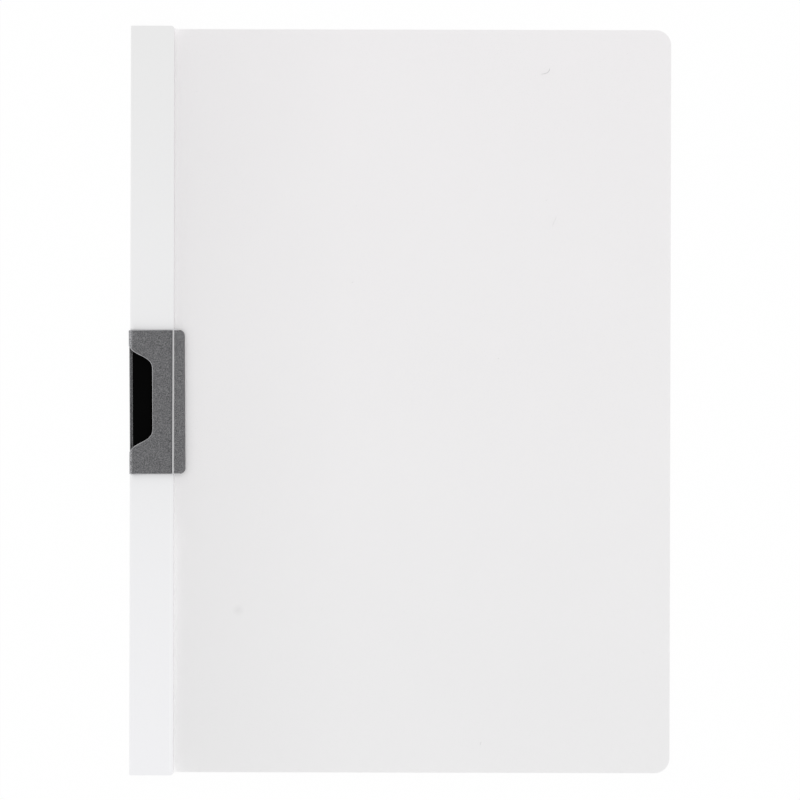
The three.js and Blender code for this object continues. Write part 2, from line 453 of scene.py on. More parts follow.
# %% Cut a blank
def cut_blank(name, loops, thickness, softening):
    """A flat plate with soft edges, cut along closed loops. One unit is a millimetre."""
    curve = bpy.data.curves.new(name, "CURVE")
    curve.dimensions = "2D"
    curve.fill_mode = "BOTH"
    curve.extrude = thickness / 2 - softening
    curve.bevel_depth = softening
    curve.bevel_resolution = 1
    curve.offset = -softening
    for loop in loops:
        spline = curve.splines.new("POLY")
        spline.points.add(len(loop) - 1)
        spline.use_cyclic_u = True
        for point, (along, across) in zip(spline.points, loop):
            point.co = (along, across, 0.0, 1.0)
    holder = bpy.data.objects.new(name + "_outline", curve)
    bpy.context.scene.collection.objects.link(holder)
    depsgraph = bpy.context.evaluated_depsgraph_get()
    mesh = bpy.data.meshes.new_from_object(holder.evaluated_get(depsgraph))
    bpy.data.objects.remove(holder)
    mesh.name = name
    mesh.materials.clear()
    return mesh


print("blanks can be cut")

# %% [markdown]
# A bent path is the side view of a folded sheet: a line whose corners are rounded off. It is
# kept as a table of stations. Each one gives a length along the flat blank, and the place and
# direction that this length has once the sheet is bent.


# %% Bent paths
def bent_path(corners, steps=10):
    """Stations (length, x, z, angle) along a line of (x, z, radius) corners."""
    line = [Vector(corner[:2]) for corner in corners]
    last = len(line) - 1
    angles = [math.atan2(*(line[i + 1] - line[i]).yx) for i in range(last)]
    stations = [(line[0], angles[0])]
    for i in range(1, last):
        turn = math.remainder(angles[i] - angles[i - 1], 2 * math.pi)
        radius = corners[i][2]
        reach = radius * math.tan(abs(turn) / 2)
        side = math.copysign(radius, turn)
        angle = stations[-1][1]
        start = line[i] - reach * Vector((math.cos(angle), math.sin(angle)))
        centre = start + side * Vector((-math.sin(angle), math.cos(angle)))
        for step in range(steps + 1):
            now = angle + turn * step / steps
            stations.append((centre + side * Vector((math.sin(now), -math.cos(now))), now))
    stations.append((line[last], stations[-1][1]))
    table, length = [], 0.0
    for i, (point, angle) in enumerate(stations):
        if i:
            length += (point - stations[i - 1][0]).length
        table.append((length, point.x, point.y, angle))
    return np.array(table)


elbow = bent_path([(0, 0, 0), (10, 0, 2), (10, 10, 0)])
print("a 10 mm elbow is", round(float(elbow[-1, 0]), 2), "mm long when flat")

# %% [markdown]
# To fold the blank, it is first cut across at every station, so that it can bend there. Each
# point is then carried from its place on the flat blank to its place along the path.

# %% Fold a blank
PAINTED_SHADE_EDGE_HEIGHT = 2.6
SIDE_FACING = 0.95
MERGE_DISTANCE = 1e-4


def fold_blank(mesh, path):
    """Cuts a blank across at each station of its path, then bends it along the path.

    The cut edge round the blank and its holes takes the second finish, but near the
    folder's back, below the painted shade edge height, it takes the first finish, as painted
    shade on the low edges that lie deep in the folder."""
    shape = bmesh.new()
    shape.from_mesh(mesh)
    bmesh.ops.remove_doubles(shape, verts=shape.verts, dist=MERGE_DISTANCE)
    shape.normal_update()
    for face in shape.faces:
        face.material_index = int(abs(face.normal.z) < SIDE_FACING)
    for length in path[1:-1, 0]:
        geometry = shape.verts[:] + shape.edges[:] + shape.faces[:]
        bmesh.ops.bisect_plane(shape, geom=geometry, dist=1e-5,
                               plane_co=(length, 0, 0), plane_no=(1, 0, 0))
    for vertex in shape.verts:
        length, across, height = vertex.co
        x, z, angle = (np.interp(length, path[:, 0], path[:, i]) for i in (1, 2, 3))
        vertex.co = (x - math.sin(angle) * height, across, z + math.cos(angle) * height)
    # Low cut edges take the first finish: painted shade where they lie deep in the folder.
    for face in shape.faces:
        if face.calc_center_median().z < PAINTED_SHADE_EDGE_HEIGHT:
            face.material_index = 0
    shape.to_mesh(mesh)
    shape.free()


print("cut edges stay bare above", PAINTED_SHADE_EDGE_HEIGHT, "mm")

# %% [markdown]
# A finished piece sits at the origin with its place in its mesh. Smooth shading on curved
# parts with sharp edges kept is set by angle, so that large flat sheets stay flat.


# %% Finish a piece
FLAT_SHEET_ANGLE = 16.0
ROUND_PIECE_ANGLE = 60.0


def make_piece(mesh, finishes, body, replaced=(), smooth_angle=FLAT_SHEET_ANGLE):
    """Puts a mesh into the scene in metres as a piece that rides on a body."""
    for finish in finishes:
        mesh.materials.append(finish)
    mesh.shade_smooth()
    mesh.set_sharp_from_angle(angle=math.radians(smooth_angle))
    piece = bpy.data.objects.new(mesh.name, mesh)
    bpy.context.scene.collection.objects.link(piece)
    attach(piece, body)
    if replaced:
        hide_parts(*replaced)
    print(mesh.name, "has", len(mesh.polygons), "faces")


def to_frame(mesh, shift_x, shift_y=0.0, turn=0.0):
    """Turns a mesh in plan about its own origin, then carries it into the frame."""
    placed = Matrix.Translation((shift_x * MM, shift_y * MM, 0.0)) @ Matrix.Rotation(turn, 4, "Z")
    mesh.transform(placed @ Matrix.Scale(MM, 4))


print("edges sharper than", FLAT_SHEET_ANGLE, "degrees stay sharp on flat sheets")

# %% [markdown]
# ## White cover
#
# One sheet of white film makes the back panel, the spine and the front strip. A window is cut
# through the strip and the spine, where the steel clip comes out. The window fits the clip
# closely, and only a narrow bridge of film is left beside the clear cover.

# %% The folds of the white cover
FOLD_RADIUS = 1.0
STRIP_SPARE = 0.5

half_film = FILM / 2
cover_path = bent_path([
    (STRIP_WIDTH + STRIP_SPARE, SPINE_HEIGHT - half_film, 0.0),
    (half_film, SPINE_HEIGHT - half_film, FOLD_RADIUS - half_film),
    (half_film, half_film, FOLD_RADIUS - half_film),
    (FOLDER_WIDTH, half_film, 0.0),
])
blank_end = cover_path[-1, 0]
panel_start = cover_path[-2, 0]
print("the flat cover would be", round(float(blank_end), 1), "mm wide")

# %% [markdown]
# The strip isn't quite even: it is a little wider at the foot. The spine stands out past the
# panel by less than a millimetre at both ends, so the outline has a small step there. The
# window leans with the clip.

# %% Fold the white cover
STRIP_WIDER_AT_FOOT = 0.2
STRIP_SLIMMER_AT_HEAD = 0.05
STRIP_CORNER = 1.2
STEP_CORNER = 0.4
CLIP_TURN = math.radians(0.45)
CLIP_ENDS = (-29.95, 28.65)
WINDOW_GAP = 0.1
WINDOW_CORNER = 0.25
BRIDGE_START = 17.42
FILM_EDGE = 0.05

spine_end = SPINE_LENGTH / 2
panel_side = PANEL_LENGTH / 2
window_foot = float(np.interp(-FILM, -cover_path[:-1, 2], cover_path[:-1, 0]))
window_head = STRIP_WIDTH + STRIP_SPARE - BRIDGE_START
lean = math.tan(CLIP_TURN)
low_end, high_end = CLIP_ENDS[0] - WINDOW_GAP, CLIP_ENDS[1] + WINDOW_GAP
bridge_low, bridge_high = low_end + lean * BRIDGE_START, high_end + lean * BRIDGE_START
cover_outline = rounded_loop([
    (STRIP_SPARE - STRIP_WIDER_AT_FOOT, -spine_end, STRIP_CORNER),
    (panel_start, -spine_end, STEP_CORNER),
    (panel_start, -panel_side, 0.0),
    (blank_end, -panel_side, PANEL_CORNER),
    (blank_end, panel_side, PANEL_CORNER),
    (panel_start, panel_side, 0.0),
    (panel_start, spine_end, STEP_CORNER),
    (STRIP_SPARE + STRIP_SLIMMER_AT_HEAD, spine_end, STRIP_CORNER),
])
window_outline = rounded_loop([
    (window_head, bridge_low, WINDOW_CORNER),
    (window_foot, low_end, WINDOW_CORNER),
    (window_foot, high_end, WINDOW_CORNER),
    (window_head, bridge_high, WINDOW_CORNER),
], steps=4)
cover_mesh = cut_blank("white_cover", [cover_outline, window_outline], FILM, FILM_EDGE)
fold_blank(cover_mesh, cover_path)
to_frame(cover_mesh, SPINE_X)
make_piece(cover_mesh, [white_film, white_film], "folder", ["back_cover"])

# %% [markdown]
# ## Spring clip
#
# The clip is one steel strip bent to a U. Its rear leaf lies in the folder, its wall stands in
# the spine, and its front leaf presses on the sheets from above the strip down to under the
# cover. A long recess in the front leaf takes the thumb. The blank has two holes: the recess,
# which runs over the bend on to the wall, and the hole for the pivot.

# %% The bends of the clip
CLIP_LENGTH = 58.6
CLIP_REACH = 22.85
CLIP_PROUD = 0.1
REAR_LEAF = 0.75
REAR_BEND = 1.0
ROOT_HEIGHT = 5.15
ROOT_BEND = 1.5
BRIDGE_U = 17.15 + CLIP_PROUD
BRIDGE_HEIGHT = 3.1
BRIDGE_BEND = 20.0
TIP_HEIGHT = 2.25

half_steel = STEEL / 2
clip_end = CLIP_LENGTH / 2
leaf_end = CLIP_REACH - half_steel
fall = (ROOT_HEIGHT - BRIDGE_HEIGHT) / BRIDGE_U
clip_path = bent_path([
    (leaf_end, REAR_LEAF + half_steel, 0.0),
    (half_steel, REAR_LEAF + half_steel, REAR_BEND - half_steel),
    (half_steel, ROOT_HEIGHT - half_steel * (1 + fall), ROOT_BEND - half_steel),
    (BRIDGE_U, BRIDGE_HEIGHT - half_steel, BRIDGE_BEND),
    (leaf_end, TIP_HEIGHT - half_steel, 0.0),
])
steel_end = clip_path[-1, 0]
print("the clip's flat blank is", round(float(steel_end), 1), "mm wide")

# %% [markdown]
# Each end of the recess is an S-shaped curve. Two handles set it: the first runs out almost
# along the wall, the second comes in along the recess's long side. They are given as shares of
# the recess's depth and of the length of its shoulder.

# %% Ends of the recess
RECESS_DEPTH = 9.5
RECESS_ENDS = (7.8 - CLIP_LENGTH / 2, CLIP_LENGTH / 2 - 5.3)
RECESS_SHOULDER = 10.4
FIRST_HANDLE = (0.09, 0.56)
SECOND_HANDLE = (0.98, 0.42)
CURVE_STEPS = 40


def recess_side(end, inward):
    """One curved end of the recess, as (u, v) points from the wall to its full depth."""
    line = []
    for step in range(CURVE_STEPS + 1):
        t = step / CURVE_STEPS
        first, second, last = 3 * (1 - t) ** 2 * t, 3 * (1 - t) * t ** 2, t ** 3
        depth = first * FIRST_HANDLE[0] + second * SECOND_HANDLE[0] + last
        rise = first * FIRST_HANDLE[1] + second * SECOND_HANDLE[1] + last
        line.append((RECESS_DEPTH * depth, end + inward * RECESS_SHOULDER * rise))
    return line


print("the recess is", round(RECESS_ENDS[1] - RECESS_ENDS[0], 1), "mm long")

# %% [markdown]
# The recess is drawn as it is seen, from the front. On the flat blank the same points lie
# further out, because the sheet runs down a slope and round a bend. Reading the bent path
# backwards, from the place to the length, carries each point back on to the blank.

# %% The recess on the blank
RECESS_FLOOR = 2.0
FLOOR_CORNER = 0.6

bend_start = int(np.argmax(np.diff(clip_path[:, 2]))) + 1
front_half = clip_path[bend_start:]
wall_half = clip_path[:bend_start + 1]
floor_length = float(np.interp(RECESS_FLOOR, wall_half[:, 2], wall_half[:, 0]))


def on_blank(points):
    """Points of the front leaf, carried back on to the flat blank."""
    return [(float(np.interp(u, front_half[:, 1], front_half[:, 0])), v) for u, v in points]


def recess_loop():
    """The recess in the flat blank, from its floor in the wall out to its full depth."""
    foot = [point for point in recess_side(RECESS_ENDS[0], 1) if point[0] > half_steel]
    head = [point for point in recess_side(RECESS_ENDS[1], -1) if point[0] > half_steel]
    low, high = foot[0][1], head[0][1]
    wall = rounded_loop([
        (front_half[0, 0], high, 0.0),
        (floor_length, high, FLOOR_CORNER),
        (floor_length, low, FLOOR_CORNER),
        (front_half[0, 0], low, 0.0),
    ], steps=5)
    return wall + on_blank(foot) + on_blank(head)[::-1]


print("the recess reaches", round(float(front_half[0, 0]) - floor_length, 2), "mm down the wall")

# %% [markdown]
# The blank is cut with its corners rounded, folded along its path, and carried to its pivot.
# There it is turned by nearly half a degree, as the real clip stands askew in its window.

# %% Bend the clip
CLIP_CORNER = 2.2
CLIP_EDGE = 0.18
PIVOT_U = 2.5
PIVOT_V = 2.8 - CLIP_LENGTH / 2
PIVOT_X = PIVOT_U - CLIP_PROUD
PIVOT_Y = -27.15
PIVOT_HOLE = 1.4
HOLE_SIDES = 32

clip_outline = rounded_loop([
    (0.0, -clip_end, CLIP_CORNER),
    (steel_end, -clip_end, CLIP_CORNER),
    (steel_end, clip_end, CLIP_CORNER),
    (0.0, clip_end, CLIP_CORNER),
])
pivot_along = leaf_end - PIVOT_U
hole_turns = [2 * math.pi * i / HOLE_SIDES for i in range(HOLE_SIDES)]
pivot_hole = [
    (pivot_along + PIVOT_HOLE * math.cos(turn), PIVOT_V + PIVOT_HOLE * math.sin(turn))
    for turn in hole_turns
]
clip_loops = [clip_outline, recess_loop(), pivot_hole]
clip_mesh = cut_blank("spring_steel_clip", clip_loops, STEEL, CLIP_EDGE)
fold_blank(clip_mesh, clip_path)
clip_mesh.transform(Matrix.Translation((-PIVOT_U, -PIVOT_V, 0.0)))
to_frame(clip_mesh, SPINE_X + PIVOT_X, PIVOT_Y, CLIP_TURN)
make_piece(clip_mesh, [grey_paint, cut_steel], "clip", ["spring_clip"])

# %% [markdown]
# ## Plate behind the recess
#
# Through the recess one sees a black plate that lies on the rear leaf. It is a flat moulding
# with rounded corners and soft edges, so it is cut the same way but not bent.

# %% Thumb plate
PLATE = 0.3
PLATE_LEVEL = 1.35
PLATE_INSET = 1.25
PLATE_OVERLAP = 1.2
PLATE_CORNER = 0.3
PLATE_EDGE = 0.08

plate_depth = RECESS_DEPTH + PLATE_OVERLAP
plate_foot, plate_head = RECESS_ENDS[0] - PLATE_OVERLAP, RECESS_ENDS[1] + PLATE_OVERLAP
plate_outline = rounded_loop([
    (PLATE_INSET, plate_foot, PLATE_CORNER),
    (plate_depth, plate_foot, PLATE_OVERLAP),
    (plate_depth, plate_head, PLATE_OVERLAP),
    (PLATE_INSET, plate_head, PLATE_CORNER),
])
plate_mesh = cut_blank("black_thumb_plate", [plate_outline], PLATE, PLATE_EDGE)
plate_mesh.transform(Matrix.Translation((-PIVOT_U, -PIVOT_V, PLATE_LEVEL + PLATE / 2)))
to_frame(plate_mesh, SPINE_X + PIVOT_X, PIVOT_Y, CLIP_TURN)
make_piece(plate_mesh, [black_plate], "clip", ["thumb_plate"])

# %% [markdown]
# ## Pivot stud
#
# The clip turns about a stud that is welded to the panel. A turned shape needs only half a
# profile: each profile point is carried round the axis, and the rings are joined to skin.

# %% Turn the stud
STUD_PROFILE = [
    (0.0, 0.45), (1.1, 0.45), (1.1, 1.65), (1.5, 1.65), (1.6, 1.73), (1.6, 2.0),
    (1.52, 2.12), (1.3, 2.2), (0.8, 2.24), (0.0, 2.25),
]
STUD_SIDES = 32
STUD_SMOOTH_ANGLE = 40.0


def turned_mesh(name, profile, sides):
    """A closed body of revolution about the z axis."""
    shape = bmesh.new()
    rings = []
    for radius, z in profile:
        count = sides if radius > 0 else 1
        turns = [2 * math.pi * i / sides for i in range(count)]
        ring = [(radius * math.cos(turn), radius * math.sin(turn), z) for turn in turns]
        rings.append([shape.verts.new(point) for point in ring])
    for lower, upper in zip(rings, rings[1:]):
        for i in range(sides):
            j = (i + 1) % sides
            corners = [lower[i % len(lower)], lower[j % len(lower)],
                       upper[j % len(upper)], upper[i % len(upper)]]
            shape.faces.new(list(dict.fromkeys(corners)))
    bmesh.ops.recalc_face_normals(shape, faces=shape.faces)
    mesh = bpy.data.meshes.new(name)
    shape.to_mesh(mesh)
    shape.free()
    return mesh


stud_mesh = turned_mesh("turned_stud", STUD_PROFILE, STUD_SIDES)
to_frame(stud_mesh, SPINE_X + PIVOT_X, PIVOT_Y)
make_piece(
    stud_mesh, [stud_plastic], "folder", ["pivot_stud"], STUD_SMOOTH_ANGLE
)

# %% [markdown]
# ## Shapes that follow a rule
#
# Geometry Nodes make the shapes that follow a rule or repeat. A tree has named inputs, as a
# drawing has sizes, and ends with its instances made real and a finish set. It is run on a
# small starting mesh, and the result is kept as a plain mesh.


# %% A node tree with named inputs
def new_geometry_tree(name, inputs):
    """A Geometry Nodes tree with the named inputs, and the identifier of each."""
    tree = bpy.data.node_groups.new(name, "GeometryNodeTree")
    tree.interface.new_socket("Geometry", in_out="INPUT", socket_type="NodeSocketGeometry")
    tree.interface.new_socket("Geometry", in_out="OUTPUT", socket_type="NodeSocketGeometry")
    identifiers = {}
    for label, kind in inputs:
        socket = tree.interface.new_socket(label, in_out="INPUT", socket_type=kind)
        identifiers[label] = socket.identifier
    entry = tree.nodes.new("NodeGroupInput")
    terms = {label: Term(tree, entry.outputs[label]) for label, _ in inputs}
    terms["Geometry"] = Term(tree, entry.outputs["Geometry"])
    return tree, terms, identifiers


def finish_tree(tree, geometry, material):
    """Ends a tree in Realize Instances and Set Material."""
    real = add_node(tree, "GeometryNodeRealizeInstances", {}, {"Geometry": geometry})
    inputs = {"Geometry": real, "Material": material}
    dressed = add_node(tree, "GeometryNodeSetMaterial", {}, inputs)
    add_node(tree, "NodeGroupOutput", {}, {"Geometry": dressed})


def grow_mesh(name, tree, identifiers, values, source=None):
    """Runs a tree on a mesh and returns the result as a plain mesh."""
    start = source or bpy.data.meshes.new("start")
    holder = bpy.data.objects.new(name, start)
    bpy.context.scene.collection.objects.link(holder)
    modifier = holder.modifiers.new("grow", "NODES")
    modifier.node_group = tree
    for label, value in values.items():
        modifier[identifiers[label]] = value
    depsgraph = bpy.context.evaluated_depsgraph_get()
    mesh = bpy.data.meshes.new_from_object(holder.evaluated_get(depsgraph))
    holder.modifiers.remove(modifier)
    bpy.data.objects.remove(holder)
    bpy.data.meshes.remove(start)
    mesh.name = name
    mesh.materials.clear()
    return mesh


print("trees can be grown into plain meshes")

# %% [markdown]
# ## Clear cover
#
# The cover leaves the strip level at the crease and sinks on to the panel by a simple rule:
# its height falls by a fixed share for each step to the right. A grid in Geometry Nodes
# follows that rule, with its columns set close together at both ends, and its rows drawn in at
# the right to round the corners. Extruding the grid gives the film its thickness.


# %% Clear cover tree
GRID_COLUMNS = 180
GRID_ROWS = 30


def clear_cover_tree():
    numbers = ["Width", "Length", "Corner Radius", "Thickness", "Start Height", "Rest Height",
               "Settle Length"]
    inputs = [(label, "NodeSocketFloat") for label in numbers]
    inputs += [("Film", "NodeSocketMaterial")]
    tree, given, identifiers = new_geometry_tree("clear_cover", inputs)
    grid = add_node(tree, "GeometryNodeMeshGrid", {}, {
        "Size X": 1.0, "Size Y": 1.0, "Vertices X": GRID_COLUMNS, "Vertices Y": GRID_ROWS,
    })
    place = add_node(tree, "GeometryNodeInputPosition")
    share = axis_of(tree, place, 0) + 0.5
    across = axis_of(tree, place, 1)
    x = (1.0 - (share * math.pi).function("COSINE")) * 0.5 * given["Width"]
    into_corner = (x - given["Width"] + given["Corner Radius"]).function("MAXIMUM", 0.0)
    kept = given["Corner Radius"] * given["Corner Radius"] - into_corner * into_corner
    drawn_in = given["Corner Radius"] - kept.function("MAXIMUM", 0.0).function("SQRT")
    y = across * (given["Length"] - drawn_in * 2.0)
    decay = (x / given["Settle Length"] * -1.0).function("EXPONENT")
    z = given["Rest Height"] + (given["Start Height"] - given["Rest Height"]) * decay
    new_place = add_node(tree, "ShaderNodeCombineXYZ", {}, {0: x, 1: y, 2: z})
    sheet = add_node(tree, "GeometryNodeSetPosition", {},
                     {"Geometry": grid, "Position": new_place})
    up = add_node(tree, "ShaderNodeCombineXYZ", {}, {0: 0.0, 1: 0.0, 2: 1.0})
    raised = add_node(tree, "GeometryNodeExtrudeMesh", {}, {
        "Mesh": sheet, "Offset": up, "Offset Scale": given["Thickness"], "Individual": False,
    })
    under = add_node(tree, "GeometryNodeFlipFaces", {}, {"Mesh": sheet})
    joined = tree.nodes.new("GeometryNodeJoinGeometry")
    tree.links.new(raised.socket, joined.inputs[0])
    tree.links.new(under.socket, joined.inputs[0])
    welded = add_node(tree, "GeometryNodeMergeByDistance", {}, {
        "Geometry": Term(tree, joined.outputs[0]), "Distance": MERGE_DISTANCE,
    })
    finish_tree(tree, welded, given["Film"])
    return tree, identifiers


cover_tree, cover_sockets = clear_cover_tree()
print("cover tree takes:", ", ".join(cover_sockets))

# %% [markdown]
# The cover starts 3.4 mm up, under the edge of the strip. It has come down by about two thirds
# of the way after 60 mm, which is how far the clip and the welds hold it open.

# %% Grow the clear cover
START_HEIGHT = 3.4
REST_HEIGHT = 0.75
SETTLE_LENGTH = 60.0
cover_start = STRIP_WIDTH + CREASE_GAP

clear_mesh = grow_mesh("clear_cover", cover_tree, cover_sockets, {
    "Width": FOLDER_WIDTH - cover_start,
    "Length": PANEL_LENGTH,
    "Corner Radius": PANEL_CORNER,
    "Thickness": CLEAR,
    "Start Height": START_HEIGHT,
    "Rest Height": REST_HEIGHT,
    "Settle Length": SETTLE_LENGTH,
    "Film": clear_film,
})
to_frame(clear_mesh, SPINE_X + cover_start)
make_piece(clear_mesh, [clear_film], "front_cover", ["front_cover"])

# %% [markdown]
# The margin of the clear sheet is welded under the strip. It reaches out to the crease, where
# the bent film has turned a little white. It has the same window as the strip, and is cut from
# a flat blank in the same way.

# %% Cut the margin
MARGIN_START = 9.0
MARGIN_END = 18.06
MARGIN_LEVEL = 3.575
MARGIN_CORNER = 0.4
NOTCH_CORNER = 0.3
CLEAR_EDGE = 0.04

margin_loop = rounded_loop([
    (MARGIN_START, -panel_side, MARGIN_CORNER),
    (MARGIN_END, -panel_side, 0.0),
    (MARGIN_END, panel_side, 0.0),
    (MARGIN_START, panel_side, MARGIN_CORNER),
    (MARGIN_START, high_end + lean * MARGIN_START, NOTCH_CORNER),
    (BRIDGE_START, bridge_high, WINDOW_CORNER),
    (BRIDGE_START, bridge_low, WINDOW_CORNER),
    (MARGIN_START, low_end + lean * MARGIN_START, NOTCH_CORNER),
], steps=4)
margin_mesh = cut_blank("clear_margin", [margin_loop], CLEAR, CLEAR_EDGE)
margin_mesh.transform(Matrix.Translation((0.0, 0.0, MARGIN_LEVEL)))
to_frame(margin_mesh, SPINE_X)
make_piece(margin_mesh, [clear_film], "folder", ["front_cover_margin"])

# %% [markdown]
# ## Weld line
#
# The clear margin is held to the strip by a row of small heat welds along the bridge, above and
# below the clip. Each weld lifts the white film by a hair. One low dome is set at every point
# of a line, which is what instances in Geometry Nodes are for.

# %% Weld tree
def row_of_domes_tree():
    numbers = ["Spacing", "Half Width", "Half Length", "Height"]
    inputs = [(label, "NodeSocketFloat") for label in numbers]
    inputs += [("Count", "NodeSocketInt"), ("Start", "NodeSocketVector")]
    inputs += [("Film", "NodeSocketMaterial")]
    tree, given, identifiers = new_geometry_tree("row_of_domes", inputs)
    step = add_node(tree, "ShaderNodeCombineXYZ", {}, {1: given["Spacing"]})
    row = add_node(tree, "GeometryNodeMeshLine", {}, {
        "Count": given["Count"], "Start Location": given["Start"], "Offset": step,
    })
    dome = add_node(tree, "GeometryNodeMeshUVSphere", {}, {
        "Segments": 8, "Rings": 4, "Radius": 1.0,
    })
    size = add_node(tree, "ShaderNodeCombineXYZ", {}, {
        0: given["Half Width"], 1: given["Half Length"], 2: given["Height"],
    })
    domes = add_node(tree, "GeometryNodeInstanceOnPoints", {}, {
        "Points": row, "Instance": dome, "Scale": size,
    })
    finish_tree(tree, domes, given["Film"])
    return tree, identifiers


weld_tree, weld_sockets = row_of_domes_tree()
print("weld tree takes:", ", ".join(weld_sockets))

# %% [markdown]
# The same tree is run twice, with a row below the clip and one above it. The welded film is a
# shade whiter than the strip, a painted highlight along the weld line, most of all at the foot.

# %% Place the welds
WELD_X = 16.75
WELD_SPACING = 0.9
WELD_ROWS = [(-150.5, -31.5), (30.5, 150.5)]

# Painted highlight along the weld line, in a whiter copy of the white film.
weld_painted_highlight = white_film_finish(
    "weld_painted_highlight", (0.865, 0.865, 0.865, 1.0), (0.885, 0.885, 0.9, 1.0)
)
for number, (first, last) in enumerate(WELD_ROWS, start=1):
    weld_mesh = grow_mesh(f"weld_row_{number}", weld_tree, weld_sockets, {
        "Spacing": WELD_SPACING,
        "Half Width": 0.42,
        "Half Length": 0.6,
        "Height": 0.03,
        "Count": int((last - first) / WELD_SPACING) + 1,
        "Start": (WELD_X, first, SPINE_HEIGHT),
        "Film": weld_painted_highlight,
    })
    to_frame(weld_mesh, SPINE_X)
    make_piece(weld_mesh, [weld_painted_highlight], "folder", (), ROUND_PIECE_ANGLE)

# %% [markdown]
# ## Dust
#
# Clear film draws dust. Some specks and three short hairs lie on the cover where the picture
# shows them, with finer dust scattered by a fixed seed. The camera's values give the place on
# the cover under each point of the picture, so they are set here, before they are used.

# %% From the picture to the cover
SENSOR = 36.0
CAMERA_HEIGHT = 900.0
FRAME_WIDTH = 325.47
PICTURE = 800
CAMERA_ROLL = math.radians(0.14)
CAMERA_PLACE = (0.05, 0.46, CAMERA_HEIGHT + SPINE_HEIGHT)
MIDDLE_LEVEL = 2.0


def cover_top(x):
    """Height of the cover's upper face at a distance from the spine's face."""
    sunk = math.exp(-(x - cover_start) / SETTLE_LENGTH)
    return REST_HEIGHT + (START_HEIGHT - REST_HEIGHT) * sunk + CLEAR


def on_cover(across, down):
    """The point of the cover seen at a point of the picture, from the spine's face."""
    level = MIDDLE_LEVEL
    for _ in range(3):
        scale = FRAME_WIDTH / PICTURE * (CAMERA_PLACE[2] - level) / CAMERA_HEIGHT
        arm = Vector(((across - PICTURE / 2) * scale, (PICTURE / 2 - down) * scale))
        arm.rotate(Matrix.Rotation(CAMERA_ROLL, 2))
        x = arm.x + CAMERA_PLACE[0] - SPINE_X
        level = cover_top(x)
    return x, arm.y + CAMERA_PLACE[1], level


middle = on_cover(PICTURE / 2, PICTURE / 2)
print("middle of the picture falls on", [round(part, 2) for part in middle])

# %% [markdown]
# A speck is a small flattened ball, set at each point of a mesh and scaled by the size that is
# stored at that point. A hair is a thin tube along a line of points.


# %% Dust trees
def specks_tree():
    inputs = [("Flatness", "NodeSocketFloat"), ("Dust", "NodeSocketMaterial")]
    tree, given, identifiers = new_geometry_tree("specks", inputs)
    size = add_node(tree, "GeometryNodeInputNamedAttribute", {"data_type": "FLOAT"},
                    {"Name": "size"})
    grain = add_node(tree, "GeometryNodeMeshIcoSphere", {}, {"Radius": 1.0, "Subdivisions": 2})
    scale = add_node(tree, "ShaderNodeCombineXYZ", {},
                     {0: size, 1: size * 0.8, 2: size * given["Flatness"]})
    grains = add_node(tree, "GeometryNodeInstanceOnPoints", {}, {
        "Points": given["Geometry"], "Instance": grain, "Scale": scale,
    })
    finish_tree(tree, grains, given["Dust"])
    return tree, identifiers


def hairs_tree():
    inputs = [("Radius", "NodeSocketFloat"), ("Dust", "NodeSocketMaterial")]
    tree, given, identifiers = new_geometry_tree("hairs", inputs)
    line = add_node(tree, "GeometryNodeMeshToCurve", {}, {"Mesh": given["Geometry"]})
    ring = add_node(tree, "GeometryNodeCurvePrimitiveCircle", {"mode": "RADIUS"},
                    {"Resolution": 6, "Radius": given["Radius"]})
    hair = add_node(tree, "GeometryNodeCurveToMesh", {},
                    {"Curve": line, "Profile Curve": ring, "Fill Caps": True})
    finish_tree(tree, hair, given["Dust"])
    return tree, identifiers


dust_tree, dust_sockets = specks_tree()
hair_tree, hair_sockets = hairs_tree()
print("dust trees made:", dust_tree.name, hair_tree.name)

# %% [markdown]
# Each speck is a place in the picture, across and down in pixels, and a size in millimetres.
# Each hair is a line of such places and a radius.

# %% Where the dust lies
SPECKS = [
    (546.5, 200.5, 0.10), (352.5, 282.5, 0.13), (498.5, 358.5, 0.12), (265.5, 291.5, 0.08),
    (356.5, 205.5, 0.07), (421.5, 223.5, 0.05), (355.0, 319.5, 0.06), (196.5, 91.5, 0.08),
    (627.5, 53.5, 0.08), (653.5, 85.5, 0.07), (321.5, 434.5, 0.07), (321.5, 609.5, 0.09),
    (327.5, 555.5, 0.05), (601.5, 609.5, 0.07), (643.5, 652.5, 0.07), (631.5, 655.5, 0.05),
]
HAIRS = [
    ([(549.5, 68.5), (549.4, 70.3), (548.3, 71.8), (546.8, 73.0), (545.0, 73.6), (541.5, 74.2)],
     0.035),
    ([(556.0, 217.5), (554.8, 220.5), (552.5, 225.5)], 0.018),
    ([(481.0, 742.0), (480.0, 745.5)], 0.018),
]

dust_grey = moulded_finish(
    "dust_grey", (0.08, 0.078, 0.07, 1.0), (0.16, 0.155, 0.145, 1.0), 0.2, 0.8
)
print("finish made:", dust_grey.name)

# %% [markdown]
# The fine dust is drawn by lot, always with the same numbers, and keeps clear of the edges.

# %% Lay the specks
FINE_DUST = 50
DUST_SEED = 7
DUST_LEFT = 22.0
DUST_MARGIN = 4.0
DUST_SIZES = (0.02, 0.04)


def point_mesh(name, points, edges=(), sizes=None):
    """A mesh of points, joined by edges for a hair, or with a size each for specks."""
    mesh = bpy.data.meshes.new(name)
    mesh.from_pydata(points, edges, [])
    if sizes:
        mesh.attributes.new("size", "FLOAT", "POINT").data.foreach_set("value", sizes)
    return mesh


